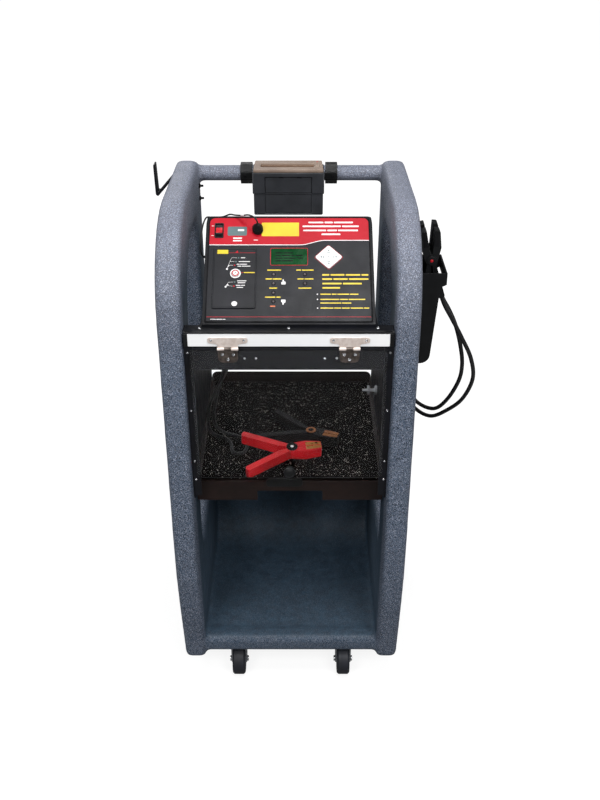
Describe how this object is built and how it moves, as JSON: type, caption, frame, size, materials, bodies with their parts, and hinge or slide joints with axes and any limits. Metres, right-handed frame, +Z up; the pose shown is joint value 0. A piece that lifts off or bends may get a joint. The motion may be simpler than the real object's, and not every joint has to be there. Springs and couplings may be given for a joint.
{
  "type": "car battery charger",
  "caption": "Battery test and charge console on a moulded workshop cart with casters, a clear-door battery bay, a storage pan, a receipt printer, clamps and leads.",
  "frame": {"origin": "on the floor, midway between the cheeks' outer faces and midway from front to rear", "axes": "+Z up, +Y from the console's front to the handle bar, +X to the clamp holster's side"},
  "size_m": [0.7014, 0.5089, 1.1547],
  "materials": {
    "cart_plastic": "speckled moulding",
    "black_plastic": "fine grain",
    "black_sheet": "satin black paint",
    "brown_black_sheet": "satin brown-black paint",
    "white_trim": "satin white",
    "bright_steel": "bright plated",
    "grey_steel": "plated",
    "wheel_rubber": "dark moulded rubber",
    "mat_rubber": "black with light flecks",
    "clear_plastic": "clear sheet",
    "panel_print": "printed overlay",
    "display_green": "back-lit display",
    "key_white": "smooth",
    "red_plastic": "smooth red",
    "tan_plastic": "fine grain",
    "winding_copper": "varnished core and winding",
    "board_green": "printed circuit board",
    "lead_rubber": "smooth black cable"
  },
  "bodies": {
    "cart": {"left_cheek": "cart_plastic", "right_cheek": "cart_plastic", "base_pan": "cart_plastic", "handle_bar": "cart_plastic", "rear_axle": "grey_steel", "charger_shelf": "black_sheet", "shelf_trim": "white_trim", "bay_side_left": "black_sheet", "bay_side_right": "black_sheet", "tray": "brown_black_sheet", "tray_mat": "mat_rubber", "cable_hook": "black_sheet", "holster": "black_plastic", "caster_plate_left": "grey_steel", "caster_plate_right": "grey_steel", "charger_case": "black_sheet", "face_panel": "panel_print", "rear_cover": "black_sheet", "lcd_window": "display_green", "tester_panel": "panel_print", "transformer": "winding_copper", "control_board": "board_green", "fan_frame": "black_plastic", "mains_inlet": "black_plastic", "bar_clamp_left": "black_plastic", "bar_clamp_right": "black_plastic", "printer_cradle": "black_plastic", "printer_body": "black_plastic", "printer_top": "tan_plastic", "hinge_leaf_left": "bright_steel", "hinge_leaf_right": "bright_steel", "test_lead_red": "lead_rubber", "test_lead_black": "lead_rubber", "charge_lead_red": "lead_rubber", "charge_lead_black": "lead_rubber", "data_lead": "lead_rubber", "data_plug": "black_plastic", "red_test_clamp_upper": "red_plastic", "black_test_clamp_lower": "black_plastic", "red_charge_clamp_upper": "red_plastic", "black_charge_clamp_upper": "black_plastic"},
    "door": {"door_panel": "clear_plastic", "door_knob": "black_plastic", "door_leaf_left": "bright_steel", "door_leaf_right": "bright_steel"},
    "caster_left": {"caster_fork_left": "grey_steel"},
    "caster_right": {"caster_fork_right": "grey_steel"},
    "front_wheel_left": {"front_wheel_left": "wheel_rubber"},
    "front_wheel_right": {"front_wheel_right": "wheel_rubber"},
    "rear_wheel_left": {"rear_wheel_left": "wheel_rubber"},
    "rear_wheel_right": {"rear_wheel_right": "wheel_rubber"},
    "rocker": {"rocker": "red_plastic"},
    "keypad": {"keypad": "key_white"},
    "ring_button": {"ring_button": "key_white"},
    "feed_button": {"feed_button": "tan_plastic"},
    "fan_rotor": {"fan_rotor": "black_plastic"},
    "red_test_jaw": {"red_test_clamp_lower": "red_plastic"},
    "black_test_jaw": {"black_test_clamp_upper": "black_plastic"},
    "red_charge_jaw": {"red_charge_clamp_lower": "red_plastic"},
    "black_charge_jaw": {"black_charge_clamp_lower": "black_plastic"}
  },
  "joints": [
    {"name": "door_swing", "type": "hinge", "parent": "cart", "child": "door", "pos_m": [0, -0.2346, 0.9138], "axis": [-1, 0, 0], "range_deg": [0, 100]},
    {"name": "caster_swivel_left", "type": "hinge", "parent": "cart", "child": "caster_left", "pos_m": [-0.125, -0.152, 0.0375], "axis": [0, 0, 1], "continuous": true},
    {"name": "front_wheel_spin_left", "type": "hinge", "parent": "caster_left", "child": "front_wheel_left", "pos_m": [-0.125, -0.178, 0.0375], "axis": [1, 0, 0], "continuous": true},
    {"name": "caster_swivel_right", "type": "hinge", "parent": "cart", "child": "caster_right", "pos_m": [0.125, -0.152, 0.0375], "axis": [0, 0, 1], "continuous": true},
    {"name": "front_wheel_spin_right", "type": "hinge", "parent": "caster_right", "child": "front_wheel_right", "pos_m": [0.125, -0.178, 0.0375], "axis": [1, 0, 0], "continuous": true},
    {"name": "rear_wheel_spin_left", "type": "hinge", "parent": "cart", "child": "rear_wheel_left", "pos_m": [-0.275, 0.18, 0.075], "axis": [1, 0, 0], "continuous": true},
    {"name": "rear_wheel_spin_right", "type": "hinge", "parent": "cart", "child": "rear_wheel_right", "pos_m": [0.275, 0.18, 0.075], "axis": [1, 0, 0], "continuous": true},
    {"name": "mains_rocker", "type": "hinge", "parent": "cart", "child": "rocker", "pos_m": [-0.1395, -0.03151, 1.06969], "axis": [1, 0, 0], "range_deg": [0, 16]},
    {"name": "keypad_press", "type": "slide", "parent": "cart", "child": "keypad", "axis": [0, 0.5793, -0.8151], "range_m": [0, 0.0008], "stiffness_N_per_m": 600, "springref_m": -0.0006},
    {"name": "ring_button_press", "type": "slide", "parent": "cart", "child": "ring_button", "axis": [0, 0.5793, -0.8151], "range_m": [0, 0.0012], "stiffness_N_per_m": 300, "springref_m": -0.0006},
    {"name": "feed_button_press", "type": "slide", "parent": "cart", "child": "feed_button", "axis": [0, 0, -1], "range_m": [0, 0.0012], "stiffness_N_per_m": 300, "springref_m": -0.0006},
    {"name": "fan_spin", "type": "hinge", "parent": "cart", "child": "fan_rotor", "pos_m": [0.02, 0.0655, 0.9955], "axis": [0, 1, 0], "continuous": true},
    {"name": "red_test_squeeze", "type": "hinge", "parent": "cart", "child": "red_test_jaw", "pos_m": [0.004, -0.119, 0.60301], "axis": [-0.0218, 0.1549, -0.9877], "range_deg": [0, 25], "stiffness_Nm_per_rad": 0.9, "springref_deg": -28.65},
    {"name": "black_test_squeeze", "type": "hinge", "parent": "cart", "child": "black_test_jaw", "pos_m": [0.046, -0.04, 0.5934], "axis": [0, 0, 1], "range_deg": [0, 25], "stiffness_Nm_per_rad": 0.9, "springref_deg": -28.65},
    {"name": "red_charge_squeeze", "type": "hinge", "parent": "cart", "child": "red_charge_jaw", "pos_m": [0.2813, -0.07, 1.03], "axis": [0, -1, 0], "range_deg": [0, 5], "stiffness_Nm_per_rad": 0.9, "springref_deg": -28.65},
    {"name": "black_charge_squeeze", "type": "hinge", "parent": "cart", "child": "black_charge_jaw", "pos_m": [0.2813, -0.03, 1.03], "axis": [0, -1, 0], "range_deg": [0, 5], "stiffness_Nm_per_rad": 0.9, "springref_deg": -28.65}
  ]
}
